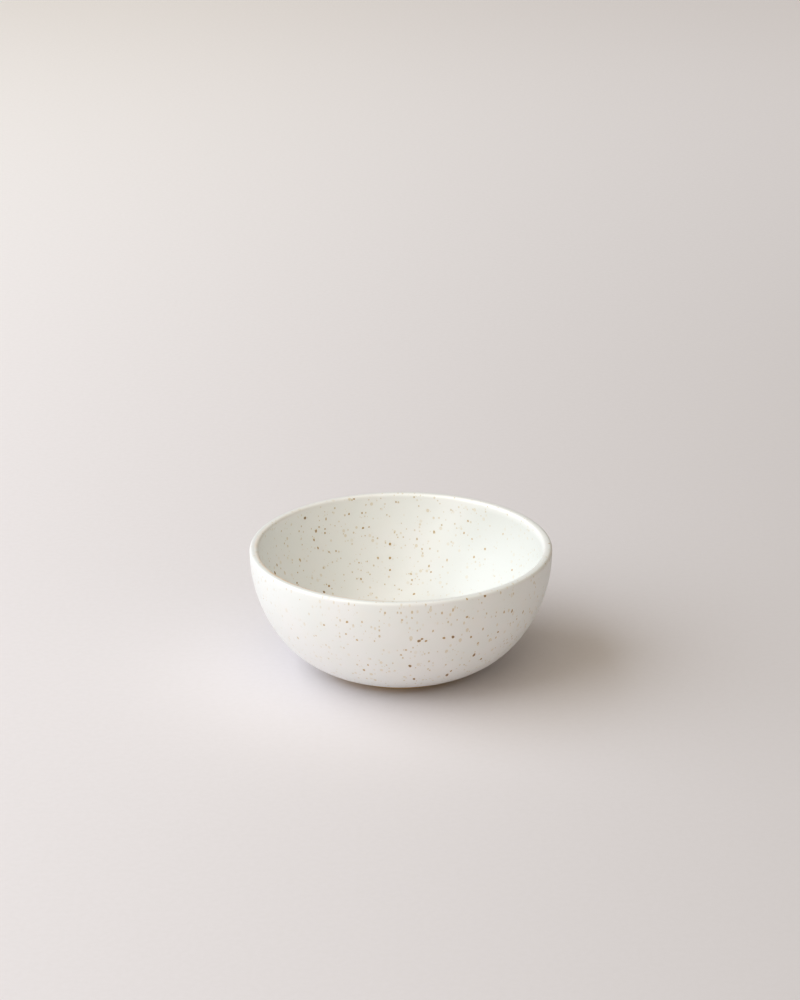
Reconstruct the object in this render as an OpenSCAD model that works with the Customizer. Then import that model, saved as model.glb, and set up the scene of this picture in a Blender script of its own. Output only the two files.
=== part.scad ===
// Small stoneware bowl: a fired clay body on a turned foot ring, under coats of satin glaze.
// The origin is the centre of the footprint, on the surface that the bowl stands on, and +Z is up.

/* [Bowl] */
// Outer diameter across the rim, glaze included
rim_d = 155; // [140:1:180]
// Height from the foot to the crest of the lip
bowl_h = 65; // [60:1:72]
// Width of the half-round lip, glaze included
lip_w = 4.7; // [3:0.1:6]

/* [Wall] */
// Radius of the belly, the low curve of the outside
belly_r = 49; // [46:0.5:52]
// How far the wall runs inwards for each unit that it drops, where the belly takes over
belly_lean_share = 0.75; // [0.55:0.05:0.85]
// Radius of the low curve inside the hollow
hollow_r = 36.5; // [33:0.5:39]
// Slope of the floor where the low curve ends
floor_slope_share = 0.076059; // [0.05:0.001:0.15]
// Thickness of the floor at its centre, glaze included
floor_t = 4.45; // [4:0.05:6]

/* [Foot] */
// Outer diameter of the foot ring
foot_d = 71; // [64:1:78]
// Height of the foot ring
foot_h = 2.3; // [1.8:0.1:4]
// Width of the foot ring
foot_w = 5; // [3:0.5:8]
// Radius of the softened edges of the foot ring
foot_round = 0.8; // [0.3:0.1:0.9]

/* [Glaze] */
// Thickness of a coat of glaze
glaze_t = 0.4; // [0.2:0.05:0.8]
// Width of the bare clay between the foot ring and the edge of the outer glaze
bare_band = 4.5; // [2:0.5:8]
// Width of the bare clay between the foot ring and the patch of glaze in its recess
base_band = 1; // [0.5:0.5:3]

/* [Hidden] */
$fn = 240;

clay_colour = "#c7ab83";
foot_colour = "#b8986b";
liner_colour = "#eeeee6";
coat_colour = "#f1efe9";

rim_r = rim_d / 2;
foot_r = foot_d / 2;
lip_r = lip_w / 2;
// Height of the centre of the lip, where the wall stands upright
lip_z = bowl_h - lip_r;
// Radius of the circle along the crest of the lip, where the two coats meet
crest_r = rim_r - lip_r;
// Larger than the bowl each way, for the squares that cut outlines
reach = rim_d + bowl_h;

// The outside is two arcs that flow into each other. The belly lands on the outer edge of the
// foot ring, and that settles how much wider the upper arc is than the belly.
belly_turn = atan(belly_lean_share);
turn_run = 1 - cos(belly_turn);
turn_rise = sin(belly_turn);
foot_run = foot_r - rim_r + belly_r;
foot_rise = lip_z - foot_h;
turn_size = turn_run * turn_run + turn_rise * turn_rise;
turn_pull = foot_rise * turn_rise - foot_run * turn_run;
foot_miss = foot_run * foot_run + foot_rise * foot_rise - (belly_r - glaze_t) * (belly_r - glaze_t);
arc_step = (turn_pull - sqrt(turn_pull * turn_pull - turn_size * foot_miss)) / turn_size;
upper_r = belly_r + arc_step;
belly_x = rim_r - upper_r + arc_step * cos(belly_turn);

// The hollow is a wide arc that leans in as the outside does, then the tighter one, and then a
// dish for the floor. The radii of the first and last are the pair that reaches from the lip to
// the centre of the floor.
floor_turn = 90 - atan(floor_slope_share);
hollow_run = rim_r - lip_w - hollow_r * (cos(belly_turn) - cos(floor_turn));
hollow_drop = lip_z - foot_h - floor_t - hollow_r * (sin(floor_turn) - sin(belly_turn));
floor_lift = 1 - sin(floor_turn);
pair_share = turn_rise * cos(floor_turn) - turn_run * floor_lift;
hollow_upper_r = (hollow_drop * cos(floor_turn) - hollow_run * floor_lift) / pair_share;
dish_r = (hollow_run * turn_rise - hollow_drop * turn_run) / pair_share;
hollow_step = hollow_upper_r - hollow_r;

// Angle below the horizontal at which the outer glaze stops, seen from the belly's centre
glaze_stop = acos((foot_r + bare_band - belly_x) / (belly_r - glaze_t));

// Each arc is drawn from its own centre. Where two arcs meet, their centres and the meeting
// point lie on one line, which is the X axis of both frames, so the arcs join without a step.
module at_lip() {
    translate([crest_r, lip_z]) children();
}

module at_outer_arc() {
    at_lip() translate([lip_r - upper_r, 0]) rotate(-belly_turn) children();
}

module at_belly_arc() {
    at_outer_arc() translate([arc_step, 0]) children();
}

module at_inner_arc() {
    at_lip() translate([-lip_r - hollow_upper_r, 0]) rotate(-belly_turn) children();
}

module at_hollow_arc() {
    at_inner_arc() translate([hollow_step, 0]) children();
}

module above_line() {
    translate([-2 * reach, 0]) square([4 * reach, 2 * reach]);
}

module below_line() {
    translate([-2 * reach, -2 * reach]) square([4 * reach, 2 * reach]);
}

// What lies right of the axis and under the centre of the lip
module under_lip() {
    intersection() {
        at_lip() below_line();
        translate([0, -reach]) square([reach, 2 * reach]);
    }
}

// All that lies inside the outer wall up to the lip, drawn in by a skin's thickness
module outside_outline(skin) {
    intersection() {
        under_lip();
        translate([0, foot_h]) square(reach);
        union() {
            at_outer_arc() intersection() {
                circle(r = upper_r - skin);
                above_line();
            }
            at_belly_arc() intersection() {
                circle(r = belly_r - skin);
                below_line();
            }
            translate([0, foot_h]) square([belly_x, belly_r]);
        }
    }
}

// The hollow up to the lip, let out by a skin's thickness
module hollow_outline(skin) {
    intersection() {
        under_lip();
        union() {
            at_inner_arc() intersection() {
                circle(r = hollow_upper_r + skin);
                above_line();
            }
            at_hollow_arc() intersection() {
                circle(r = hollow_r + skin);
                below_line();
                rotate(belly_turn - floor_turn) above_line();
            }
            at_hollow_arc() rotate(belly_turn - floor_turn) intersection() {
                translate([hollow_r - dish_r, 0]) circle(r = dish_r + skin);
                below_line();
            }
        }
    }
}

// The coat over the lip, on one side of its crest: 1 is the outer side and -1 the inner
module lip_coat(side) {
    at_lip() intersection() {
        difference() {
            circle(r = lip_r);
            circle(r = lip_r - glaze_t);
        }
        translate([min(side, 0) * lip_r, 0]) square(lip_r);
    }
}

// Stoneware wall and floor, with the half-round lip thrown on
module clay_body() {
    color(clay_colour) rotate_extrude() {
        difference() {
            outside_outline(glaze_t);
            hollow_outline(glaze_t);
        }
        at_lip() intersection() {
            circle(r = lip_r - glaze_t);
            above_line();
        }
    }
}

// Bare ring turned under the floor, whose lower face stands on the table
module foot_ring() {
    inner_r = foot_r - foot_w;
    color(foot_colour) rotate_extrude() {
        translate([inner_r, foot_round]) square([foot_w, foot_h - foot_round]);
        translate([inner_r + foot_round, 0]) square([foot_w - 2 * foot_round, foot_h]);
        for (edge_r = [inner_r + foot_round, foot_r - foot_round])
            translate([edge_r, foot_round]) circle(r = foot_round);
    }
}

// Liner coat poured into the hollow and run up to the crest of the lip
module inner_glaze() {
    color(liner_colour) rotate_extrude() {
        difference() {
            hollow_outline(glaze_t);
            hollow_outline(0);
        }
        lip_coat(-1);
    }
}

// Outer coat from the crest of the lip down to the glaze line above the foot
module outer_glaze() {
    color(coat_colour) rotate_extrude() {
        difference() {
            outside_outline(0);
            outside_outline(glaze_t);
            at_belly_arc() rotate(belly_turn - glaze_stop) below_line();
        }
        lip_coat(1);
    }
}

// Round patch of glaze in the recess inside the foot ring
module base_glaze() {
    color(coat_colour) translate([0, 0, foot_h - glaze_t])
        rotate_extrude() square([foot_r - foot_w - base_band, glaze_t]);
}

clay_body();
foot_ring();
inner_glaze();
outer_glaze();
base_glaze();
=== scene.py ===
# %% [markdown]
# A small stoneware bowl, thrown on a wheel, turned at the foot and dressed in a satin off-white
# glaze. Iron in the clay bleeds through the glaze as brown and tan spots. The CAD model gives
# the exact sizes, so this lesson repeats the same arcs, adds what a potter's hands and the kiln
# leave behind, and then sets up the camera and the light of a quiet studio picture.

# %% Load the CAD model
import random
from math import acos, atan, atan2, cos, degrees, exp, hypot, inf, pi, radians, sin, sqrt, tau

import bpy
import numpy as np
from mathutils import Matrix, Vector, noise
from mathutils.bvhtree import BVHTree


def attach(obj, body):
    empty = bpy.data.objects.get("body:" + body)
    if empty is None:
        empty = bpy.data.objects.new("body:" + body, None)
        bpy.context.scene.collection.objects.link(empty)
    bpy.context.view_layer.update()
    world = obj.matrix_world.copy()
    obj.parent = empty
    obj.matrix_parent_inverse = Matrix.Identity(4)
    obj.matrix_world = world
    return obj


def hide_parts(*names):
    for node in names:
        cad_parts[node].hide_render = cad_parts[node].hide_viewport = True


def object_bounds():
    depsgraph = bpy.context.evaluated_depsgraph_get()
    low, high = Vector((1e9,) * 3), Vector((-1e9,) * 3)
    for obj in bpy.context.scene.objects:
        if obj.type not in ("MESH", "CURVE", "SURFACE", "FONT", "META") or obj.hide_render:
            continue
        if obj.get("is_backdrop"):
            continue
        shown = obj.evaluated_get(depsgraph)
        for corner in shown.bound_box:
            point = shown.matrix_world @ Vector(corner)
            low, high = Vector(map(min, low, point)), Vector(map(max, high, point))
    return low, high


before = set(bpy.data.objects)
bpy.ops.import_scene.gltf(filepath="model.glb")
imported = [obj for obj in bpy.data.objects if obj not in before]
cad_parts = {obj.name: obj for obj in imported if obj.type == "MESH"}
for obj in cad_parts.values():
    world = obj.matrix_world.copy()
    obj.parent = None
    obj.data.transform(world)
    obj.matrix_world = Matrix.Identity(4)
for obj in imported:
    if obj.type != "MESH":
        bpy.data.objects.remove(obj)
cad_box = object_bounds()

MM = 0.001
print("CAD nodes:", ", ".join(sorted(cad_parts)))

# %% [markdown]
# The bowl is a solid of revolution. Its cross-section is a chain of arcs that flow into each
# other: a half-round lip, a wide arc for the upper wall, and a tighter arc for the belly, which
# lands on the foot ring. The hollow is a wide arc, a tighter one and a shallow dish. These are
# the CAD sizes, in metres, with the same names as in the source of the part.

# %% Sizes
rim_r = 77.5 * MM
bowl_h = 65.0 * MM
lip_w = 4.7 * MM
belly_r = 49.0 * MM
belly_lean_share = 0.75
belly_turn = atan(belly_lean_share)
hollow_r = 36.5 * MM
floor_slope_share = 0.076059
floor_turn = pi / 2 - atan(floor_slope_share)
floor_t = 4.45 * MM
foot_r = 35.5 * MM
foot_h = 2.3 * MM
foot_w = 5.0 * MM
foot_round = 0.8 * MM
glaze_t = 0.4 * MM
bare_band = 4.5 * MM
base_band = 1.0 * MM
lip_r = lip_w / 2
lip_z = bowl_h - lip_r
crest_r = rim_r - lip_r
print(f"rim {2000 * rim_r:.0f} mm, height {1000 * bowl_h:.0f} mm, foot {2000 * foot_r:.0f} mm")

# %% [markdown]
# The belly has to end on the outer edge of the foot ring, which settles the radius of the upper
# wall. It is the same sum as in the CAD source, so both models share one outline.

# %% The outer arcs
turn_run, turn_rise = 1 - cos(belly_turn), sin(belly_turn)
foot_run, foot_rise = foot_r - rim_r + belly_r, lip_z - foot_h
turn_size = turn_run ** 2 + turn_rise ** 2
turn_pull = foot_rise * turn_rise - foot_run * turn_run
foot_miss = foot_run ** 2 + foot_rise ** 2 - (belly_r - glaze_t) ** 2
arc_step = (turn_pull - sqrt(turn_pull ** 2 - turn_size * foot_miss)) / turn_size
upper_r = belly_r + arc_step
upper_x = rim_r - upper_r
belly_x = upper_x + arc_step * cos(belly_turn)
belly_z = lip_z - arc_step * sin(belly_turn)
glaze_stop = acos((foot_r + bare_band - belly_x) / (belly_r - glaze_t))
print(f"upper wall radius {upper_r / MM:.1f} mm, belly centre {belly_x / MM:.1f}, {belly_z / MM:.1f}")

# %% The arcs of the hollow
hollow_run = rim_r - lip_w - hollow_r * (cos(belly_turn) - cos(floor_turn))
hollow_drop = lip_z - foot_h - floor_t - hollow_r * (sin(floor_turn) - turn_rise)
floor_lift = 1 - sin(floor_turn)
pair_share = turn_rise * cos(floor_turn) - turn_run * floor_lift
inner_r = (hollow_drop * cos(floor_turn) - hollow_run * floor_lift) / pair_share
dish_r = (hollow_run * turn_rise - hollow_drop * turn_run) / pair_share
inner_x = rim_r - lip_w - inner_r
hollow_x = inner_x + (inner_r - hollow_r) * cos(belly_turn)
hollow_z = lip_z - (inner_r - hollow_r) * sin(belly_turn)
dish_z = foot_h + floor_t + dish_r
print(f"hollow radii {inner_r / MM:.1f}, {hollow_r / MM:.1f} and {dish_r / MM:.0f} mm")

# %% [markdown]
# The camera comes early, because the boldest iron spots are placed by looking through it. The
# picture was taken with a long lens from about 22 degrees above the table. The lens, the
# distance and the small tilt were found by matching the outline of the rim and the foot.

# %% Camera
def in_scene(name, data):
    """A new object in the scene."""
    made = bpy.data.objects.new(name, data)
    bpy.context.scene.collection.objects.link(made)
    return made


def smooth_piece(name, vertices, faces):
    """A new object from its vertices and faces, shaded smooth."""
    mesh = bpy.data.meshes.new(name)
    mesh.from_pydata(vertices, [], faces)
    mesh.shade_smooth()
    return in_scene(name, mesh)


lens_mm, sensor_mm = 85.0, 30.0
picture_w, picture_h = 800, 1000
pixels_per_slope = lens_mm / sensor_mm * picture_h
camera_distance = 1451.0 * MM
camera_climb = radians(21.887)
camera_roll = radians(-0.3)
rim_middle = Vector((0, 0, bowl_h))
rim_middle_pixel = (400.8, 544.5)

camera_data = bpy.data.cameras.new("camera")
camera_data.lens = lens_mm
camera_data.sensor_width = sensor_mm
camera_data.clip_end = 60
camera = in_scene("camera", camera_data)
bpy.context.scene.camera = camera
backwards = Vector((0, -cos(camera_climb), sin(camera_climb)))
look = backwards.to_track_quat("Z", "Y").to_matrix().to_4x4()
nod = atan((rim_middle_pixel[1] - picture_h / 2) / pixels_per_slope)
glance = atan((rim_middle_pixel[0] - picture_w / 2) / pixels_per_slope)
aim = Matrix.Rotation(camera_roll, 4, "Z") @ Matrix.Rotation(nod, 4, "X")
aim = aim @ Matrix.Rotation(glance, 4, "Y")
camera.matrix_world = Matrix.Translation(rim_middle + backwards * camera_distance) @ look @ aim
print("camera stands at", [round(c, 3) for c in camera.matrix_world.translation])

# %% [markdown]
# No hand-thrown bowl is a perfect solid of revolution. The rim is a little out of round, the
# lip dips by a hair, and the fingers leave faint rings that climb in a spiral. A wet chamois
# has pressed the lip a little flatter than a half-round. One function moves every point of
# every coat in the same way, so the coats never part from the clay. The bowl stays inside the
# box of the CAD model, and the foot is left alone, so the bowl stands flat.

# %% What the hands leave
egg_depth = 0.16 * MM
ring_depth, ring_pitch = 0.035 * MM, 8.5 * MM
dip_depth, dip_at = 0.12 * MM, 2.2


def softened(x, y, z):
    """Where a point of the perfect bowl lies on the hand-made one."""
    angle = atan2(y, x)
    reach = full = hypot(x, y)
    if z > lip_z:
        across, above = reach - crest_r, z - lip_z
        fuller = hypot(across, above) / (abs(across) ** 3 + above ** 3) ** (1 / 3)
        full, z = crest_r + across * fuller, lip_z + above * fuller
    climb = min(max((z - foot_h) / (bowl_h - foot_h), 0), 1)
    egg = 0.5 - 0.3 * cos(2 * angle) - 0.2 * cos(3 * angle + 0.2)
    ring_share = climb * (1 - climb) * 4 * min(reach / (0.5 * rim_r), 1)
    rings = 0.5 + 0.5 * sin(tau * z / ring_pitch + angle)
    inwards = egg_depth * egg * climb ** 2 + ring_depth * rings * ring_share
    dip = dip_depth * (0.5 + 0.5 * cos(angle - dip_at)) * climb ** 2
    shrink = (full - inwards) / reach if reach > 1 * MM else 1
    return x * shrink, y * shrink, z - dip


print(f"rim moves by up to {egg_depth / MM:.2f} mm, finger rings by up to {ring_depth / MM:.3f} mm")

# %% [markdown]
# Each coat is turned from a cross-section, like a lathe does it. The front of a coat is the
# skin that we see. A normal for each of its points is worked out from its neighbours, with one
# extra point beyond each end, so that the inner and the outer coat meet at the crest of the lip
# without a visible line. The back lies against the clay and closes the piece. A piece with no
# back, such as the foot, is one closed loop.

# %% Turning a piece from its cross-section
SEGMENTS = 288
axis_hair = 0.001 * MM


def arc(centre_x, centre_z, radius, start, end, count):
    """count points along an arc, as (distance from the axis, height), without its last point."""
    turns = [start + (end - start) * i / count for i in range(count)]
    return [(centre_x + radius * cos(t), centre_z + radius * sin(t)) for t in turns]


def swung(section):
    """The points of section(angle) at each angle, as an array [row, segment, xyz]."""
    angles = [tau * j / SEGMENTS for j in range(SEGMENTS)]
    points = np.zeros((len(section(0)), SEGMENTS, 3))
    for j, angle in enumerate(angles):
        for i, (reach, z) in enumerate(section(angle)):
            points[i, j] = softened(reach * cos(angle), reach * sin(angle), z)
    return points


def normals_of(points):
    """The normal of each point but those of the first and last row, facing away from the loop."""
    along = points[2:] - points[:-2]
    around = np.roll(points, -1, axis=1) - np.roll(points, 1, axis=1)
    normals = np.cross(around[1:-1], along)
    return normals / np.maximum(np.linalg.norm(normals, axis=2, keepdims=True), 1e-12)


def turned(name, front, back):
    """A closed piece. front(angle) and back(angle), if it has one, are its cross-section there,
    as one loop. The front's first and last points only guide the normals and aren't built."""
    guided = swung(front)
    normals = normals_of(guided)
    seen = guided[1:-1]
    rows = np.concatenate([seen, swung(back)]) if back else seen
    index, vertices = [], []
    for row in rows:
        if np.abs(row[:, :2]).max() < axis_hair:
            index.append([len(vertices)] * SEGMENTS)
            vertices.append(tuple(row[0]))
        else:
            index.append(list(range(len(vertices), len(vertices) + SEGMENTS)))
            vertices.extend(map(tuple, row))
    faces, places = [], []
    for i in range(len(rows)):
        k = (i + 1) % len(rows)
        for j in range(SEGMENTS):
            m = (j + 1) % SEGMENTS
            corners = {}
            for row, segment in ((i, j), (i, m), (k, m), (k, j)):
                corners.setdefault(index[row][segment], (row, segment))
            if len(corners) > 2:
                faces.append(list(corners))
                places.append((list(corners.values()), i < len(seen) - 1, j))
    piece = smooth_piece(name, vertices, faces)
    loop_normals = []
    for kept, is_front, _ in places:
        for row, segment in kept:
            plain = is_front and row < len(seen)
            loop_normals.append(tuple(normals[row, segment]) if plain else (0, 0, 0))
    return piece, places, loop_normals, len(seen), len(rows)


def finish_normals(piece, loop_normals):
    """The worked-out normals on the front, plain ones elsewhere, and a sharp edge between."""
    kinds = {}
    at = 0
    for face in piece.data.polygons:
        is_front = any(n != (0, 0, 0) for n in loop_normals[at:at + face.loop_total])
        for key in face.edge_keys:
            kinds.setdefault(key, set()).add(is_front)
        at += face.loop_total
    sharp = piece.data.attributes.new("sharp_edge", "BOOLEAN", "EDGE")
    for edge in piece.data.edges:
        sharp.data[edge.index].value = len(kinds[edge.key]) > 1
    piece.data.normals_split_custom_set(loop_normals)


print("each row has", SEGMENTS, "points")

# %% [markdown]
# The skin of the outer coat runs from its lower edge up to the crest of the lip. The glaze was
# wiped back above the foot, so its edge wanders a little, and surface tension leaves it rounded
# and slightly thick there. The front is short steps round that edge and then three arcs. All
# coats reach a hair into the clay behind them, so that no gap can open.

# %% Cross-section of the outer coat
edge_waver = 0.35 * MM
edge_roll = 0.55 * MM
edge_steps = (0, 0.02, 0.08, 0.18, 0.32, 0.5, 0.72, 1, 1.6, 2.4, 3.4, 5)
edge_steps_end = 6.5
swell_share, swell_at, swell_width = 0.2, 1.5, 0.9
into_clay = 0.03 * MM
crest_rows = 16


def edge_wander(angle):
    """How far the wiped edge strays along the wall, from mixed slow waves."""
    return edge_waver * (sin(2 * angle + 0.4) + 0.5 * sin(5 * angle + 2.0) + 0.3 * sin(9 * angle))


def outer_front(angle):
    """The skin of the outer coat, from just inside its lower edge to just past the crest."""
    low = -glaze_stop + edge_wander(angle) / belly_r
    under_edge = belly_r - 1.1 * glaze_t
    points = [(belly_x + under_edge * cos(low), belly_z + under_edge * sin(low))]
    for step in edge_steps:
        rise = sqrt(1 - (1 - min(step, 1)) ** 2)
        swell = 1 + swell_share * exp(-((step - swell_at) / swell_width) ** 2)
        turn = low + step * edge_roll / belly_r
        reach = belly_r - glaze_t + glaze_t * rise * swell
        points.append((belly_x + reach * cos(turn), belly_z + reach * sin(turn)))
    begin = low + edge_steps_end * edge_roll / belly_r
    points += arc(belly_x, belly_z, belly_r, begin, -belly_turn, 14)
    points += arc(upper_x, lip_z, upper_r, -belly_turn, 0, 26)
    points += arc(crest_r, lip_z, lip_r, 0, pi / 2, crest_rows)
    past = pi / 2 + pi / 2 / crest_rows
    points.append((crest_r, bowl_h))
    points.append((crest_r + lip_r * cos(past), lip_z + lip_r * sin(past)))
    return points


def outer_back(angle):
    """The side against the clay, a hair inside it, from the crest down to the lower edge."""
    skin = glaze_t + into_clay
    low = -glaze_stop + edge_wander(angle) / belly_r
    points = [(crest_r, bowl_h - skin)]
    points += arc(crest_r, lip_z, lip_r - skin, pi / 2, 0, 6)[1:]
    points += arc(upper_x, lip_z, upper_r - skin, 0, -belly_turn, 12)
    points += arc(belly_x, belly_z, belly_r - skin, -belly_turn, low + 2 * edge_roll / belly_r, 8)
    return points


print("outer coat:", len(outer_front(0)) - 2, "points in front,", len(outer_back(0)), "behind")

# %% [markdown]
# The inner coat was poured in and out again. Its skin runs from the crest down the wall and
# over the floor to the axis, where all the rows meet in one point.

# %% Cross-section of the inner coat
def inner_front(angle):
    """The skin of the inner coat, from just past the crest down to the centre of the floor."""
    before = pi / 2 - pi / 2 / crest_rows
    points = [(crest_r + lip_r * cos(before), lip_z + lip_r * sin(before))]
    points += arc(crest_r, lip_z, lip_r, pi / 2, pi, crest_rows)
    points += arc(inner_x, lip_z, inner_r, 0, -belly_turn, 24)
    points += arc(hollow_x, hollow_z, hollow_r, -belly_turn, -floor_turn, 20)
    points += arc(0, dish_z, dish_r, -floor_turn, -pi / 2, 16)
    points.append((0, foot_h + floor_t))
    points.append((-1 * MM, foot_h + floor_t))
    return points


def inner_back(angle):
    """The side against the clay, from the axis back up to the crest."""
    skin = glaze_t + into_clay
    points = [(0, foot_h + floor_t - skin)]
    points += arc(0, dish_z, dish_r + skin, -pi / 2, -floor_turn, 5)[1:]
    points += arc(hollow_x, hollow_z, hollow_r + skin, -floor_turn, -belly_turn, 8)
    points += arc(inner_x, lip_z, inner_r + skin, -belly_turn, 0, 10)
    points += arc(crest_r, lip_z, lip_r - skin, pi, pi / 2, 6)
    points.append((crest_r, bowl_h - skin))
    return points


print("inner coat:", len(inner_front(0)) - 2, "points in front,", len(inner_back(0)), "behind")

# %% [markdown]
# Under the glaze is the clay itself: the wall, the floor and the core of the lip. Most of it is
# hidden, but a band of it shows above the foot ring, where the potter wiped the glaze away so
# that the bowl wouldn't stick to the kiln shelf. The foot ring is turned from the same clay. It
# has rounded edges, and the wheel leaves fine grooves on it.

# %% Cross-sections of the clay, the foot ring and the patch of glaze inside it
flare = 0.25 * MM


def clay_section(angle):
    """The fired clay under the glaze, from the axis under the floor round to the axis above it."""
    foot_turn = acos((foot_r - belly_x) / (belly_r - glaze_t))
    points = [(0, foot_h), (0, foot_h), (foot_r - foot_w, foot_h), (foot_r, foot_h)]
    points += arc(belly_x, belly_z, belly_r - glaze_t, -foot_turn, -belly_turn, 22)[1:]
    points += arc(upper_x, lip_z, upper_r - glaze_t, -belly_turn, 0, 14)
    points += arc(crest_r, lip_z, lip_r - glaze_t, 0, pi, 12)
    points += arc(inner_x, lip_z, inner_r + glaze_t, 0, -belly_turn, 12)
    points += arc(hollow_x, hollow_z, hollow_r + glaze_t, -belly_turn, -floor_turn, 10)
    points += arc(0, dish_z, dish_r + glaze_t, -floor_turn, -pi / 2, 6)
    points += [(0, foot_h + floor_t - glaze_t)] * 2
    return points


def foot_section(angle):
    """The foot ring, from the top of its inner side down, under and up the outer side.
    Both sides flare a little where they meet the floor above."""
    inside_r = foot_r - foot_w
    flare_z, straight_z = foot_h - 0.8 * flare, foot_h - 2 * flare
    points = [(inside_r - flare, foot_h)] * 2
    points += [(inside_r - 0.1 * flare, flare_z), (inside_r, straight_z)]
    points += arc(inside_r + foot_round, foot_round, foot_round, -pi, -pi / 2, 8)
    points += arc(foot_r - foot_round, foot_round, foot_round, -pi / 2, 0, 8)
    points += [(foot_r, foot_round), (foot_r, straight_z), (foot_r + 0.1 * flare, flare_z)]
    points += [(foot_r + flare, foot_h)] * 2
    return points


def patch_section(angle):
    """The patch of glaze in the recess, hanging under the floor with a rolled edge."""
    edge = foot_r - foot_w - base_band + edge_wander(angle) * 0.7 - 0.3 * MM
    low, high = foot_h - glaze_t, foot_h + into_clay
    points = [(0, high)] * 2
    points += [(0.9 * edge, high), (edge - 0.2 * MM, high)]
    points += [(edge + 0.5 * glaze_t * cos(t), foot_h + glaze_t * sin(t)) for t in (0, -0.5, -1, -1.4)]
    points += [(edge - step * MM, low) for step in (0.3, 0.9, 2, 4)]
    points += [(share * edge, low) for share in (0.75, 0.6, 0.45, 0.3, 0.15)]
    points += [(0, low)] * 2
    return points


print("foot ring:", len(foot_section(0)) - 2, "points, clay:", len(clay_section(0)) - 2)

# %% [markdown]
# Now the five pieces are turned. Each stands in for the CAD solid of the same place, which is
# hidden, and rides on the bowl's only body. The maps for baking are laid out here: the inner
# coat as a round disc, and the others in rows, so that their seams are few.

# %% Turn the pieces
# Measures of the maps are shares of the image
map_margin = 0.004
map_strips = 2
strip_segments = SEGMENTS // map_strips
map_back_share = 0.03
disc_reach, disc_middle = 0.482, (0.5, 0.484)
disc_back_low, disc_back_high = 0.975, 0.998


def lengths_along(section):
    """How far along a cross-section each of its points lies, from its first point."""
    lengths = [0.0]
    for (r0, z0), (r1, z1) in zip(section, section[1:]):
        lengths.append(lengths[-1] + hypot(r1 - r0, z1 - z0))
    return lengths


inner_lengths = lengths_along(inner_front(0)[1:-1])


def spot_in_rows(is_front, row, around, j, seen, rows):
    """A place in a map of long strips: the front fills the image, and the back its top edge."""
    back_share = map_back_share if rows > seen else 0
    if is_front:
        strip = j // strip_segments
        u = (around - strip * strip_segments) / strip_segments
        v = (strip + 0.01 + 0.98 * row / (seen - 1)) / map_strips * (1 - back_share)
    else:
        u = around / SEGMENTS
        v = 1 - back_share * (0.9 - 0.85 * ((row - seen) % rows) / rows)
    return map_margin + (1 - 2 * map_margin) * u, min(v, 0.999)


def spot_in_disc(is_front, row, around, j, seen, rows):
    """A place in the inner coat's map: the axis in the middle, the crest of the lip outside."""
    if not is_front:
        climb = ((row - seen) % rows) / rows
        return around / SEGMENTS, disc_back_low + (disc_back_high - disc_back_low) * climb
    reach = disc_reach * (1 - inner_lengths[row] / inner_lengths[-1])
    angle = tau * around / SEGMENTS
    return disc_middle[0] + reach * cos(angle), disc_middle[1] + reach * sin(angle)


def make_piece(name, front, back, node, map_spot=spot_in_rows):
    """Turns a piece, maps it, hides the CAD part that it stands for and sets it on the body."""
    piece, places, loop_normals, seen, rows = turned(name, front, back)
    layer = piece.data.uv_layers.new(name="OFBake").uv
    corners = [(is_front, j, corner) for kept, is_front, j in places for corner in kept]
    for at, (is_front, j, (row, segment)) in enumerate(corners):
        around = j + 1 if segment != j else j
        layer[at].vector = map_spot(is_front, row, around, j, seen, rows)
    if back:
        finish_normals(piece, loop_normals)
    else:
        piece.data.set_sharp_from_angle(angle=radians(40))
    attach(piece, "root")
    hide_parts(node)
    low, high = np.array(piece.bound_box).min(0), np.array(piece.bound_box).max(0)
    spans = [round(1000 * s, 1) for s in high - low]
    print(name, "spans", spans, "mm,", len(piece.data.polygons), "faces")
    return piece


outer_coat = make_piece("outer_coat", outer_front, outer_back, "outer_glaze")
inner_coat = make_piece(
    "inner_coat", inner_front, inner_back, "inner_glaze", spot_in_disc
)
clay_wall = make_piece("clay_wall", clay_section, None, "clay_body")
turned_foot = make_piece("turned_foot", foot_section, None, "foot_ring")
base_patch = make_piece("base_patch", patch_section, None, "base_glaze")

# %% [markdown]
# Where the glaze runs thin over the two edges of the lip, the clay tints it peach. That is a
# number on each point of the coats, which the glaze material reads. It depends on how near the
# point is to an edge of the lip, and on the side of the bowl, because a dipped coat is never
# even all round.

# %% Where the glaze breaks over the lip
# In degrees: where round the lip's section the glaze is thinnest, and over what width. Then
# the stretches of the rim where it is thin: middle, width and strength.
inside_edge, inside_stretches = (30, 38), ((228, 42, 0.9), (150, 45, 0.25))
outside_edge, outside_stretches = (60, 30), ((8, 30, 0.5), (50, 25, 0.3))
least_strength = 0.04
patches_per_metre = 160


def lobe(angle, middle, width):
    """1 in the middle of a stretch of the rim and 0 away from it, both given in degrees."""
    apart = (degrees(angle) - middle + 180) % 360 - 180
    return exp(-(apart / width) ** 2)


def thinness(x, y, z, inside):
    """How thin the glaze is, from 0 on the wall to 1 at an edge of the lip."""
    angle = atan2(y, x)
    side = -1 if inside else 1
    outwards = side * (hypot(x, y) - crest_r)
    over_lip = atan2(outwards, z - lip_z) if z > lip_z else pi / 2 + (lip_z - z) / lip_r
    wave = radians(6 * sin(3 * angle + 1) + 4 * sin(8 * angle))
    edge, edge_width = inside_edge if inside else outside_edge
    near = (over_lip - radians(edge) - wave) / radians(edge_width)
    strength = least_strength
    for middle, width, share in inside_stretches if inside else outside_stretches:
        strength += share * lobe(angle, middle, width)
    patchy = 0.8 + 0.5 * noise.noise(Vector((x, y, z)) * patches_per_metre)
    return strength * patchy * exp(-near ** 2)


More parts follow.
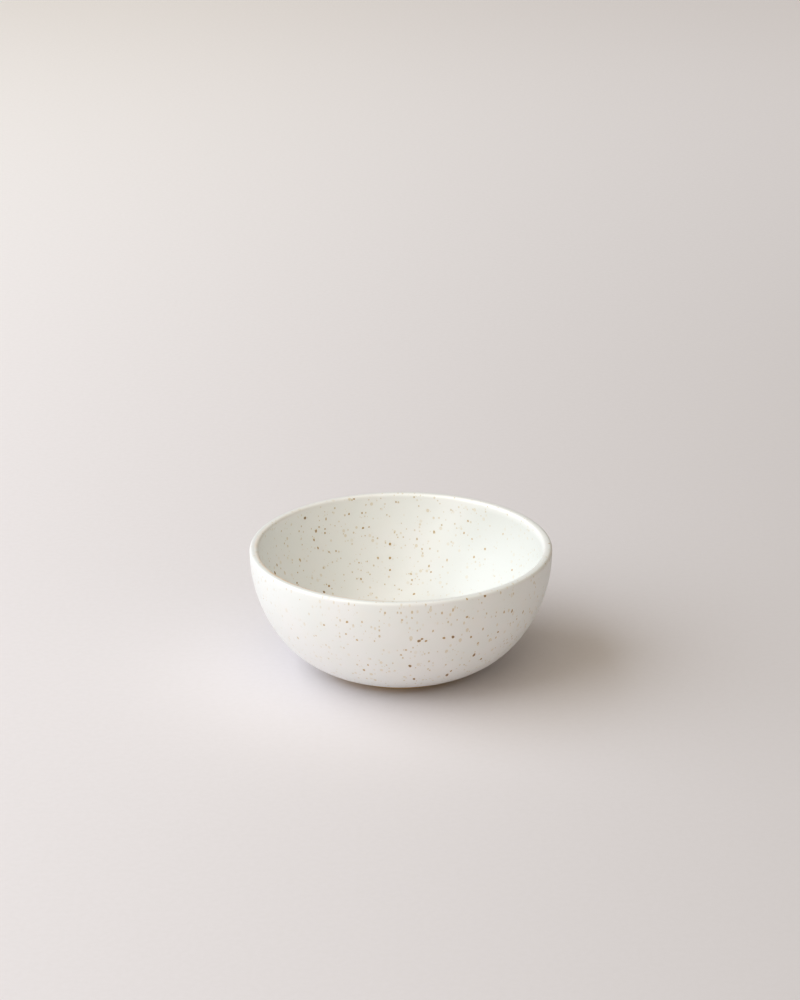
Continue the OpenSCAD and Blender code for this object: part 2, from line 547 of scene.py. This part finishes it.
for coat, inside in ((outer_coat, False), (inner_coat, True)):
    thin = coat.data.attributes.new("thin", "FLOAT", "POINT")
    values = [thinness(*vertex.co, inside) for vertex in coat.data.vertices]
    thin.data.foreach_set("value", values)
    print(coat.name, "is thinnest at", round(max(values), 2))

# %% [markdown]
# Materials are built from nodes, so a few short helpers keep the recipes readable. Each helper
# adds one kind of node, wires its inputs and hands back the node.

# %% Helpers for materials
def colour(red, green, blue):
    """A colour written as on screen, from 0 to 255, turned into the linear values of a node."""
    parts = [c / 255 for c in (red, green, blue)]
    return tuple(c / 12.92 if c <= 0.04045 else ((c + 0.055) / 1.055) ** 2.4 for c in parts) + (1,)


def node(tree, kind, inputs=(), **settings):
    """A new node with its settings, and its inputs set to a value or wired to a socket."""
    made = tree.nodes.new(kind)
    for name, value in settings.items():
        setattr(made, name, value)
    for name, value in dict(inputs).items():
        if isinstance(value, bpy.types.NodeSocket):
            tree.links.new(value, made.inputs[name])
        else:
            made.inputs[name].default_value = value
    return made


def maths(tree, operation, *values):
    """One step of arithmetic on sockets or numbers."""
    return node(tree, "ShaderNodeMath", dict(enumerate(values)), operation=operation).outputs[0]


def spread(tree, value, low, high, to_low=0, to_high=1):
    """value mapped smoothly from one range to another."""
    given = {"Value": value, "From Min": low, "From Max": high, "To Min": to_low, "To Max": to_high}
    return node(tree, "ShaderNodeMapRange", given, interpolation_type="SMOOTHSTEP").outputs[0]


def blended(tree, share, first, second):
    """Two colours mixed by a share from 0 to 1."""
    # A mix node takes its colours at sockets 6 and 7 and gives one at socket 2
    given = {0: share, 6: first, 7: second}
    return node(tree, "ShaderNodeMix", given, data_type="RGBA").outputs[2]


def noise_at(tree, place, size, detail=2):
    """Soft noise whose blotches are about size metres across."""
    given = {"Vector": place, "Scale": 1 / size, "Detail": detail}
    return node(tree, "ShaderNodeTexNoise", given).outputs["Fac"]


def new_material(name):
    """An empty node material: its tree, its main shader and the object's own coordinates."""
    material = bpy.data.materials.new(name)
    material.use_nodes = True
    tree = material.node_tree
    shader = tree.nodes["Principled BSDF"]
    place = node(tree, "ShaderNodeTexCoord").outputs["Object"]
    return material, tree, shader, place


print("a mid grey written as 128 is", round(colour(128, 128, 128)[0], 3), "in linear light")

# %% [markdown]
# Satin glaze is a white glass full of tiny crystals. It isn't one colour: it is greener where
# it pools, warmer in faint clouds, and sprinkled with pale freckles of iron. Cells of a
# Voronoi texture make the freckles: each cell has a random size, and many are left empty. On
# the lit side of each coat the freckles are painted fainter, as if washed out by the light, and
# the glaze is painted a little greyer, as painted shade against that light. The liner is
# painted paler than the outside, as painted light in the shaded hollow. The shader stays broad
# and soft, with a faint orange-peel in its bump.

# %% The satin glaze
glaze_white = colour(243, 243, 243)
glaze_cool = colour(240, 242, 241)
glaze_warm = colour(243, 241, 237)
# Painted light: a paler tone laid over a whole coat by a share, used on the liner
glaze_painted_light = colour(255, 255, 253)
# Painted shade: a greyer tone laid on the lit side of each coat
glaze_painted_shade = colour(224, 226, 223)
lip_peach = colour(230, 196, 158)
# Each kind of freckle: its cell, how many cells hold one, its width, strength and colour
broad_freckles = (3.4 * MM, 0.6, 1.0 * MM, 0.58, colour(222, 208, 180))
fine_freckles = (2.2 * MM, 0.65, 0.6 * MM, 0.8, colour(208, 190, 154))
# Strength of the freckles away from the lit side and on it, where they are painted fainter
# as if washed out by the light
freckles_off_lit_side, freckles_on_lit_side = 1.15, 0.62
# The painted shade on the lit side of a coat ends between these heights, under the lip
painted_shade_full_z, painted_shade_end_z = 60 * MM, 64.5 * MM
# The colour of a spot by its depth, palest first
iron_tones = (
    (0.1, colour(228, 221, 204)),
    (0.35, colour(206, 182, 140)),
    (0.6, colour(170, 134, 84)),
    (0.8, colour(128, 90, 48)),
    (1.0, colour(88, 56, 28)),
)


def freckles(tree, place, cell, fullness, widest, stretch):
    """A mask of scattered round freckles, one at most in each cell of a given size."""
    given = {"Vector": place, "Scale": (1, 1, stretch)}
    squeezed = node(tree, "ShaderNodeMapping", given).outputs[0]
    cells = node(tree, "ShaderNodeTexVoronoi", {"Vector": squeezed, "Scale": 1 / cell})
    luck = node(tree, "ShaderNodeSeparateColor", {"Color": cells.outputs["Color"]})
    distance = maths(tree, "MULTIPLY", cells.outputs["Distance"], cell)
    radius = maths(tree, "MULTIPLY", maths(tree, "ADD", luck.outputs["Green"], 0.6), widest / 1.6)
    edge = maths(tree, "SUBTRACT", radius, distance)
    dot = spread(tree, edge, -0.1 * MM, 0.2 * MM)
    chosen = maths(tree, "LESS_THAN", luck.outputs["Red"], fullness)
    strength = spread(tree, luck.outputs["Blue"], 0, 1, 0.35, 1)
    return maths(tree, "MULTIPLY", maths(tree, "MULTIPLY", dot, chosen), strength)


def glaze_body(tree, place, lit_share, painted_shade_share, painted_light_share):
    """The glaze's colour with its pools and clouds. A share of painted light makes it paler all over,
    and a share of painted shade greys its lit side, ending under the lip.
    """
    pool = spread(tree, noise_at(tree, place, 26 * MM, 3), 0.38, 0.62)
    body = blended(tree, pool, glaze_cool, glaze_white)
    cloud = spread(tree, noise_at(tree, place, 9 * MM, 4), 0.45, 0.75, 0, 0.4)
    body = blended(tree, cloud, body, glaze_warm)
    body = blended(tree, painted_light_share, body, glaze_painted_light)
    height = node(tree, "ShaderNodeSeparateXYZ", {"Vector": place}).outputs["Z"]
    below_lip = spread(tree, height, painted_shade_full_z, painted_shade_end_z, painted_shade_share, 0)
    return blended(tree, maths(tree, "MULTIPLY", lit_share, below_lip), body, glaze_painted_shade)


def satin_glaze(name, freckle_stretch, lit_side, starts, ends, painted_shade_share, painted_light_share):
    """The off-white glaze. It reads thin, the lip's tint, and iron, the depth of a spot.
    Towards the side given, the lit side of the coat, from starts to ends along that way, the
    freckles are painted fainter, as if washed out by the light, and the glaze takes a painted
    shade of grey, but not on the lip. A share of painted light takes the whole coat nearer to
    white."""
    material, tree, shader, place = new_material(name)
    towards = node(tree, "ShaderNodeVectorMath", {0: place, 1: lit_side}, operation="DOT_PRODUCT")
    lit_share = spread(tree, towards.outputs["Value"], starts, ends)
    body = glaze_body(tree, place, lit_share, painted_shade_share, painted_light_share)
    thin = node(tree, "ShaderNodeAttribute", attribute_name="thin").outputs["Fac"]
    body = blended(tree, spread(tree, thin, 0, 1.1, 0, 0.85), body, lip_peach)
    # On the lit side the freckles are painted fainter, as if washed out by the light
    fading = freckles_on_lit_side - freckles_off_lit_side
    plain = maths(tree, "MULTIPLY_ADD", lit_share, fading, freckles_off_lit_side)
    for cell, fullness, widest, strength, tone in (broad_freckles, fine_freckles):
        mask = freckles(tree, place, cell, fullness, widest, freckle_stretch)
        share = maths(tree, "MULTIPLY", maths(tree, "MULTIPLY", mask, strength), plain)
        body = blended(tree, share, body, tone)
    iron = node(tree, "ShaderNodeAttribute", attribute_name="iron").outputs["Fac"]
    ramp = node(tree, "ShaderNodeValToRGB", {"Fac": iron})
    stops = ramp.color_ramp.elements
    stops[0].position, stops[0].color = iron_tones[0]
    stops[1].position, stops[1].color = iron_tones[-1]
    for position, tone in iron_tones[1:-1]:
        stops.new(position).color = tone
    skin = blended(tree, spread(tree, iron, 0, 0.3), body, ramp.outputs["Color"])
    tree.links.new(skin, shader.inputs["Base Color"])
    rough = spread(tree, noise_at(tree, place, 1.2 * MM), 0.3, 0.7, 0.36, 0.46)
    tree.links.new(rough, shader.inputs["Roughness"])
    shader.inputs["Specular IOR Level"].default_value = 0.8
    fine_peel = maths(tree, "MULTIPLY", noise_at(tree, place, 0.7 * MM), 0.25)
    peel = maths(tree, "ADD", noise_at(tree, place, 3.5 * MM), fine_peel)
    bump = node(tree, "ShaderNodeBump", {"Height": peel, "Strength": 0.5, "Distance": 0.06 * MM})
    tree.links.new(bump.outputs[0], shader.inputs["Normal"])
    return material


# Each coat is painted greyer on the side where the light falls, as painted shade
outer_glaze_finish = satin_glaze(
    "satin_glaze_outside", 0.65, (-1, 0, 0), 10 * MM, 45 * MM, painted_shade_share=0.16, painted_light_share=0
)
# The liner is also painted paler all over, as painted light in the shaded hollow
inner_glaze_finish = satin_glaze(
    "satin_glaze_inside", 0.9, (1, 0, -0.6), -10 * MM, 14 * MM, painted_shade_share=0.74, painted_light_share=0.45
)
print("glaze nodes:", len(outer_glaze_finish.node_tree.nodes))

# %% [markdown]
# The bare clay is a buff stoneware. It is rough and matt, with grains of grog in it, the same
# iron that spots the glaze, and toasted patches. The turning tool leaves fine grooves that run
# round the foot, so they follow the distance from the axis and the height.

# %% The bare clay
clay_buff = colour(212, 179, 124)
clay_toasted = colour(198, 162, 106)
grog_tone = colour(226, 204, 160)
iron_grain_tone = colour(96, 62, 34)
groove_pitch = 0.45 * MM


def bare_clay(name):
    """Buff stoneware with grog, iron grains and the grooves of the turning tool."""
    material, tree, shader, place = new_material(name)
    toast = spread(tree, noise_at(tree, place, 14 * MM, 3), 0.35, 0.65)
    body = blended(tree, toast, clay_buff, clay_toasted)
    grog = freckles(tree, place, 1.1 * MM, 0.5, 0.3 * MM, 1)
    body = blended(tree, maths(tree, "MULTIPLY", grog, 0.5), body, grog_tone)
    grains = freckles(tree, place, 2.2 * MM, 0.35, 0.4 * MM, 1)
    body = blended(tree, grains, body, iron_grain_tone)
    tree.links.new(body, shader.inputs["Base Color"])
    shader.inputs["Roughness"].default_value = 0.86
    parts = node(tree, "ShaderNodeSeparateXYZ", {"Vector": place}).outputs
    flat = node(tree, "ShaderNodeCombineXYZ", {"X": parts["X"], "Y": parts["Y"]}).outputs[0]
    reach = node(tree, "ShaderNodeVectorMath", {0: flat}, operation="LENGTH").outputs["Value"]
    groove_place = maths(tree, "ADD", reach, maths(tree, "MULTIPLY", parts["Z"], 0.8))
    grooves = maths(tree, "SINE", maths(tree, "MULTIPLY", groove_place, tau / groove_pitch))
    grit = noise_at(tree, place, 0.5 * MM, 4)
    height = maths(tree, "ADD", maths(tree, "MULTIPLY", grooves, 0.25), grit)
    bump = node(tree, "ShaderNodeBump", {"Height": height, "Strength": 0.6, "Distance": 0.08 * MM})
    tree.links.new(bump.outputs[0], shader.inputs["Normal"])
    return material


clay_finish = bare_clay("buff_stoneware")
for piece, finish in (
    (outer_coat, outer_glaze_finish),
    (base_patch, outer_glaze_finish),
    (inner_coat, inner_glaze_finish),
    (clay_wall, clay_finish),
    (turned_foot, clay_finish),
):
    piece.data.materials.append(finish)
print("clay nodes:", len(clay_finish.node_tree.nodes))

# %% [markdown]
# The iron spots that catch the eye are real shapes: lens-shaped beads that melted into the
# glaze and stand a few hundredths of a millimetre proud. Each is draped over the coat, with the
# coat's own normals, and fades at its rim into the glaze, so that it has a soft halo. The
# number called iron is its depth: about 0.3 is pale tan, 0.6 ochre and 1 dark brown.

# %% A bead of iron
BEAD_SIDES = 18
BEAD_RINGS = (0, 0.3, 0.55, 0.75, 0.9, 1)
bead_proud = 0.022 * MM
bead_rim_sink = 0.006 * MM
bead_root = 0.12 * MM
bead_raggedness = (0.06, 0.16)


def skin_normal(point, inside):
    """The normal of the perfect skin at a point, facing away from the clay."""
    reach, z = hypot(point.x, point.y), point.z
    if z > lip_z:
        centre = (crest_r, lip_z)
    elif inside and z > lip_z - inner_r * sin(belly_turn):
        centre = (inner_x, lip_z)
    elif inside:
        centre = (hollow_x, hollow_z) if z > dish_z - dish_r * sin(floor_turn) else (0, dish_z)
    else:
        centre = (upper_x, lip_z) if z > belly_z - belly_r * sin(belly_turn) else (belly_x, belly_z)
    out, up = reach - centre[0], z - centre[1]
    if inside and z <= lip_z:
        out, up = -out, -up
    length = hypot(out, up)
    outwards = Vector((point.x, point.y, 0)).normalized()
    return outwards * (out / length) + Vector((0, 0, up / length))


class Beads:
    """Gathers the beads of one coat, and makes them into one piece."""

    def __init__(self, coat, inside):
        points = [v.co for v in coat.data.vertices]
        self.tree = BVHTree.FromPolygons(points, [tuple(f.vertices) for f in coat.data.polygons])
        self.inside = inside
        self.vertices, self.faces, self.iron, self.normals = [], [], [], []

    def add(self, at, size, tone, stretch, luck):
        """One bead at a point of the skin: size across, depth of colour, and how long it ran."""
        up = skin_normal(at, self.inside)
        side = up.cross(Vector((0, 0, 1))).normalized() if abs(up.z) < 0.98 else Vector((1, 0, 0))
        down = up.cross(side)
        start = len(self.vertices)
        phase, second = luck.uniform(0, tau), luck.uniform(0, tau)
        ragged = luck.uniform(*bead_raggedness)
        for ring in BEAD_RINGS:
            for k in range(1 if ring == 0 else BEAD_SIDES):
                turn = tau * k / BEAD_SIDES
                wide = 1 + ragged * (sin(2 * turn + phase) + 0.6 * sin(3 * turn + second))
                reach = size / 2 * ring * wide
                guess = at + side * (reach * cos(turn)) + down * (reach * sin(turn) * stretch)
                hit = self.tree.ray_cast(guess + up * MM, -up, 3 * MM)[0] or guess
                normal = skin_normal(hit, self.inside)
                proud = bead_proud * (1 - ring ** 2) - bead_rim_sink * ring ** 4
                self.vertices.append(hit + normal * proud)
                self.normals.append(tuple(normal))
                self.iron.append(tone * (1 - ring ** 2.2))
        bottom = len(self.vertices)
        self.vertices.append(at - up * bead_root)
        self.normals.append((0, 0, 0))
        self.iron.append(0)
        for k in range(BEAD_SIDES):
            after = (k + 1) % BEAD_SIDES
            self.faces.append((start, start + 1 + k, start + 1 + after))
            for ring in range(len(BEAD_RINGS) - 2):
                low = start + 1 + ring * BEAD_SIDES
                high = low + BEAD_SIDES
                self.faces.append((low + k, high + k, high + after, low + after))
            rim = bottom - BEAD_SIDES
            self.faces.append((rim + after, rim + k, bottom))

    def piece(self, name, slot, finish):
        """All the beads as one object with the coat's finish."""
        made = smooth_piece(name, [tuple(v) for v in self.vertices], self.faces)
        mesh = made.data
        iron = mesh.attributes.new("iron", "FLOAT", "POINT")
        iron.data.foreach_set("value", self.iron)
        bottoms = {i for i, n in enumerate(self.normals) if n == (0, 0, 0)}
        sharp = mesh.attributes.new("sharp_face", "BOOLEAN", "FACE")
        loops = []
        for face in mesh.polygons:
            under = any(v in bottoms for v in face.vertices)
            sharp.data[face.index].value = under
            loops += [(0, 0, 0) if under else self.normals[v] for v in face.vertices]
        mesh.normals_split_custom_set(loops)
        mesh.materials.append(finish)
        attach(made, "root")
        print(name, "holds", len(bottoms), "beads")


outside_beads = Beads(outer_coat, False)
inside_beads = Beads(inner_coat, True)
print("beads have", BEAD_SIDES, "sides and stand", bead_proud / MM, "mm proud")

# %% [markdown]
# The boldest spots sit where they do on the real bowl. Each has a name for where it is in the
# picture, its place there in whole pixels, its size across in tenths of a millimetre, its depth
# of colour in tenths and its length as a share of its width. A line of sight from the camera
# through the pixel finds the skin that carries the bead, so it lies in the glaze from any side.
# The rim of a bead fades away, so each bead is made somewhat wider than its spot looks.

# %% Spots of the picture
def first_skin(ray):
    """What a line of sight from the camera meets first: how far, where, and that coat's beads."""
    met = [(inf, None, None)]
    for beads in (outside_beads, inside_beads):
        hit, _, _, far = beads.tree.ray_cast(camera.matrix_world.translation, ray.normalized())
        if hit:
            met.append((far, hit, beads))
    return min(met, key=lambda m: m[0])


def seen_at(across, down):
    """The point of the bowl's skin behind a pixel, and the beads of the coat that it lies on."""
    slope_x = (across - picture_w / 2) / pixels_per_slope
    slope_y = (picture_h / 2 - down) / pixels_per_slope
    return first_skin(camera.matrix_world.to_3x3() @ Vector((slope_x, slope_y, -1)))[1:]


hollow_spots = {
    "upper_left_dark": (305, 518, 14, 10, 1.0),
    "upper_left_row_1": (316, 531, 12, 8, 1.2),
    "upper_left_row_2": (314, 540, 10, 8, 1.1),
    "upper_left_row_3": (318, 548, 10, 7, 1.2),
    "upper_left_pair_a": (319, 527, 8, 6, 1.0),
    "upper_left_pair_b": (325, 529, 8, 6, 1.1),
    "upper_left_pair_c": (325, 533, 10, 6, 1.0),
    "upper_left_tall": (326, 519, 9, 5, 1.5),
    "back_wall_left": (349, 514, 10, 7, 1.0),
    "back_wall_left_two": (362, 513, 9, 6, 1.0),
    "back_wall_dark": (363, 528, 11, 7, 1.0),
    "back_wall_dark_friend": (369, 527, 8, 5, 1.0),
    "back_wall_high": (396, 502, 8, 6, 1.1),
    "middle_dark": (390, 544, 12, 8, 1.0),
    "middle_pair_a": (390, 558, 11, 7, 1.2),
    "middle_pair_b": (378, 558, 12, 5, 1.0),
    "middle_low": (390, 570, 10, 7, 1.0),
    "floor_left": (361, 579, 10, 6, 1.0),
    "floor_centre_a": (411, 574, 11, 4, 1.0),
    "floor_centre_b": (412, 580, 9, 5, 1.2),
    "floor_front": (414, 594, 12, 6, 1.0),
    "floor_right_a": (429, 566, 10, 5, 1.2),
    "floor_right_b": (431, 572, 9, 6, 1.0),
    "right_wall_a": (434, 532, 11, 5, 1.3),
    "right_wall_b": (464, 533, 10, 5, 1.1),
    "right_wall_c": (472, 539, 9, 4, 1.1),
    "right_wall_high": (468, 521, 10, 5, 1.1),
    "right_wall_d": (485, 549, 11, 5, 1.2),
    "right_wall_e": (474, 557, 10, 5, 1.4),
    "right_wall_f": (503, 534, 9, 4, 1.1),
    "right_wall_g": (447, 560, 10, 4, 1.2),
    "right_wall_far": (512, 570, 11, 5, 1.1),
    "middle_faint_a": (417, 539, 9, 4, 1.4),
    "middle_faint_b": (422, 549, 9, 4, 1.1),
    "left_front_dark": (329, 586, 12, 7, 1.0),
    "left_front_small": (297, 583, 10, 7, 1.0),
    "left_wall_a": (300, 560, 12, 5, 1.4),
    "left_wall_b": (277, 565, 11, 6, 1.2),
    "left_wall_c": (275, 573, 14, 8, 1.3),
    "left_wall_d": (329, 552, 9, 5, 1.0),
    "left_wall_e": (336, 551, 9, 5, 1.0),
    "back_right_faint_a": (451, 510, 8, 3, 1.5),
}
lip_spots = {
    "front_lip_dark": (324, 592, 13, 10, 0.8),
    "back_lip": (354, 499, 10, 7, 0.8),
    "right_lip_edge": (467, 599, 10, 5, 1.0),
    "right_lip_dark": (485, 596, 12, 9, 0.9),
}
outside_spots = {
    "under_lip_a": (385, 613, 10, 4, 1.3),
    "under_lip_b": (401, 613, 9, 3, 1.5),
    "under_lip_c": (402, 620, 10, 4, 1.1),
    "under_lip_d": (412, 618, 9, 3, 1.2),
    "under_lip_e": (347, 622, 12, 6, 1.0),
    "under_lip_f": (362, 622, 9, 4, 1.2),
    "under_lip_g": (324, 625, 10, 5, 1.1),
    "left_wall_low_a": (357, 640, 10, 5, 1.2),
    "left_wall_low_b": (346, 634, 9, 5, 1.1),
    "front_twin_a": (419, 641, 15, 9, 1.0),
    "front_twin_b": (422, 639, 12, 9, 0.8),
    "front_twin_tail": (426, 641, 12, 7, 0.9),
    "front_right_a": (444, 638, 13, 7, 1.0),
    "front_right_dark": (453, 637, 14, 10, 1.0),
    "front_right_b": (471, 637, 11, 7, 1.1),
    "front_right_c": (467, 617, 11, 6, 1.1),
    "front_right_tall_a": (453, 610, 9, 4, 1.9),
    "front_right_tall_b": (442, 613, 10, 4, 1.3),
    "front_right_tall_c": (433, 631, 8, 4, 1.8),
    "front_right_tall_d": (483, 629, 8, 5, 1.8),
    "right_low_dark": (474, 655, 14, 10, 1.4),
    "right_low_small": (481, 659, 10, 9, 1.5),
    "right_low_faint": (478, 643, 10, 5, 1.2),
    "far_right_a": (498, 632, 10, 7, 1.2),
    "far_right_b": (504, 612, 9, 5, 1.5),
    "far_right_c": (512, 611, 10, 7, 1.9),
    "far_right_d": (523, 612, 9, 6, 1.8),
    "low_centre_a": (406, 650, 9, 5, 1.2),
    "low_centre_b": (401, 655, 10, 5, 1.1),
    "low_dark": (410, 666, 13, 10, 1.4),
    "low_dark_under": (414, 679, 11, 10, 1.9),
    "low_right_dark": (447, 675, 14, 10, 1.8),
    "low_right_small": (451, 671, 10, 7, 1.6),
    "low_left": (364, 670, 13, 6, 1.2),
    "low_left_small": (368, 665, 9, 5, 1.5),
    "low_middle": (428, 669, 9, 4, 1.1),
    "left_pale": (298, 638, 14, 3, 1.2),
}
fading_rim = 1.4
luck = random.Random(41)
picture_spots = {**hollow_spots, **lip_spots, **outside_spots}
for across, down, size, tone, stretch in picture_spots.values():
    at, beads = seen_at(across, down)
    beads.add(at, fading_rim * size * MM / 10, tone / 10, stretch, luck)
print(len(picture_spots), "spots placed from the picture")

# %% [markdown]
# The other spots fall at random, with a fixed seed so that the bowl is the same each time. A
# spot is as likely on one square millimetre of skin as on another. Small pale ones fall
# everywhere. Bold ones fall only where the picture can't see, so that they don't add to those
# listed above.

# %% Spots at random
def skin_point(share, angle, inside):
    """The skin's point at a share of a coat's length from crest to end, and its distance from
    the axis on the perfect bowl."""
    section = inner_front(0)[1:-1] if inside else outer_front(0)[-2:0:-1]
    lengths = lengths_along(section)
    goal = share * lengths[-1]
    i = max(k for k in range(len(lengths) - 1) if lengths[k] <= goal)
    part = (goal - lengths[i]) / max(lengths[i + 1] - lengths[i], 1e-9)
    reach = section[i][0] + part * (section[i + 1][0] - section[i][0])
    z = section[i][1] + part * (section[i + 1][1] - section[i][1])
    return Vector(softened(reach * cos(angle), reach * sin(angle), z)), reach


def in_picture(point):
    """Whether the picture's camera sees a point of the skin, with no other skin before it."""
    ray = point - camera.matrix_world.translation
    return first_skin(ray)[0] >= ray.length - glaze_t


small_widths, bold_widths = (0.6 * MM, 1.1 * MM), (0.9 * MM, 1.8 * MM)
bold_tones = (0.4, 1.0)
run_spread, longest_run = 0.3, 1.9


def scatter(beads, count, widths, tones, hidden_only):
    """Random beads on a coat. Small and pale ones are more common than wide and deep ones."""
    smallest, widest = widths
    palest, deepest = tones
    placed = 0
    while placed < count:
        point, reach = skin_point(luck.uniform(0.01, 0.975), luck.uniform(0, tau), beads.inside)
        if luck.random() > reach / rim_r or (hidden_only and in_picture(point)):
            continue
        rare = luck.random() ** 2
        size = smallest + (widest - smallest) * rare
        tone = palest + (deepest - palest) * luck.random() * (0.4 + 0.6 * rare)
        run = 1 + abs(luck.gauss(0, run_spread))
        beads.add(point, size, tone, min(run, longest_run), luck)
        placed += 1


scatter(inside_beads, 130, small_widths, (0.15, 0.5), hidden_only=False)
scatter(outside_beads, 230, small_widths, (0.15, 0.55), hidden_only=False)
scatter(inside_beads, 30, bold_widths, bold_tones, hidden_only=True)
scatter(outside_beads, 80, bold_widths, bold_tones, hidden_only=True)
outside_beads.piece("iron_spots_outside", "outside_glaze", outer_glaze_finish)
inside_beads.piece("iron_spots_inside", "inside_glaze", inner_glaze_finish)

# %% [markdown]
# The bowl stands on a wide sheet of pale, slightly pink paper, which reaches past the top of
# the picture. Its colour is painted darker to the right and lighter further back, as a painted
# falloff of the light. One big soft light hangs to the left, about 40 degrees up, as a window
# would. The world is a warm room that glows on the camera's side and overhead, so the hollow
# stays bright and the shadow soft.

# %% The table
paper_half = 12.0
# The paper's tones on the left and the right, each near and then far, and where they change:
# a painted falloff of the light, darker to the right and lighter far back
left_x, right_x = -0.45, 0.45
near_y, far_y = 0.05, 1.5
painted_lit_left_tones = (colour(240, 235, 238), colour(255, 252, 254))
painted_dim_right_tones = (colour(216, 212, 215), colour(244, 242, 249))
grain_tone = colour(200, 194, 190)


def paper(name):
    """Matt paper with the faintest of grain, and a painted falloff of light: darker to the right,
    lighter far back.
    """
    material, tree, shader, place = new_material(name)
    parts = node(tree, "ShaderNodeSeparateXYZ", {"Vector": place}).outputs
    side = spread(tree, parts["X"], left_x, right_x)
    far = spread(tree, parts["Y"], near_y, far_y)
    # Painted falloff of the light: darker to the right, lighter far back
    body = blended(tree, side, blended(tree, far, *painted_lit_left_tones), blended(tree, far, *painted_dim_right_tones))
    grain = spread(tree, noise_at(tree, place, 3 * MM, 3), 0.3, 0.7, 0, 0.05)
    body = blended(tree, grain, body, grain_tone)
    tree.links.new(body, shader.inputs["Base Color"])
    shader.inputs["Roughness"].default_value = 0.95
    shader.inputs["Specular IOR Level"].default_value = 0.2
    return material


floor_mesh = bpy.data.meshes.new("paper_floor")
corner_signs = ((-1, -1), (1, -1), (1, 1), (-1, 1))
floor_corners = [(x * paper_half, y * paper_half, 0) for x, y in corner_signs]
floor_mesh.from_pydata(floor_corners, [], [(0, 1, 2, 3)])
floor_mesh.materials.append(paper("pale_paper"))
floor = in_scene("paper_floor", floor_mesh)
floor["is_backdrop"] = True
print("paper reaches", paper_half, "m each way")

# %% The window light
key_data = bpy.data.lights.new("window_light", "AREA")
key_data.shape = "RECTANGLE"
key_data.size, key_data.size_y = 3.0, 2.2
key_data.energy = 52.5
key_data.color = (0.845, 0.921, 1.0)
key = in_scene("window_light", key_data)
key.location = (-1.67, -0.2, 1.42)
key.rotation_mode = "QUATERNION"
key.rotation_quaternion = key.location.to_track_quat("Z", "Y")
key.visible_camera = False
print("window light of", key_data.energy, "W at", [round(c, 1) for c in key.location])

# %% The room
glow_side = (-0.34, -0.92, 0.17)
side_glow, side_focus = 0.82, 2.0
ceiling_glow, ceiling_focus = 0.88, 8.0
least_glow = 0.04
glow_tone, backdrop_tone = colour(255, 243, 222), colour(222, 216, 213)

world = bpy.data.worlds.new("soft_room")
bpy.context.scene.world = world
world.use_nodes = True
room = world.node_tree
facing = node(room, "ShaderNodeTexCoord").outputs["Generated"]
facing_glow = node(room, "ShaderNodeVectorMath", {0: facing, 1: glow_side}, operation="DOT_PRODUCT")
nearness = maths(room, "MULTIPLY_ADD", facing_glow.outputs["Value"], 0.5, 0.5)
facing_up = node(room, "ShaderNodeSeparateXYZ", {"Vector": facing}).outputs["Z"]
upwards = maths(room, "POWER", maths(room, "MAXIMUM", facing_up, 0), ceiling_focus)
ceiling = maths(room, "MULTIPLY_ADD", upwards, ceiling_glow, least_glow)
glow = maths(room, "MULTIPLY_ADD", maths(room, "POWER", nearness, side_focus), side_glow, ceiling)
seen = node(room, "ShaderNodeLightPath").outputs["Is Camera Ray"]
room_tone = blended(room, seen, glow_tone, backdrop_tone)
strength = node(room, "ShaderNodeMix", {"Factor": seen, "A": glow, "B": 1.0}).outputs[0]
room.links.new(room_tone, room.nodes["Background"].inputs["Color"])
room.links.new(strength, room.nodes["Background"].inputs["Strength"])
bpy.context.scene.view_settings.view_transform = "Standard"
print("room nodes:", len(room.nodes))

# %% [markdown]
# Last, the box of the finished bowl is set beside the box of the CAD model. The two should
# agree to a fraction of a millimetre.

# %% Compare with the CAD model and finish
new_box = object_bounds()
sizes = {"cad": [list(map(float, c)) for c in cad_box], "scene": [list(map(float, c)) for c in new_box]}
for name, (low, high) in sizes.items():
    print(name, "box", [round(1000 * (h - l), 2) for l, h in zip(low, high)], "mm")
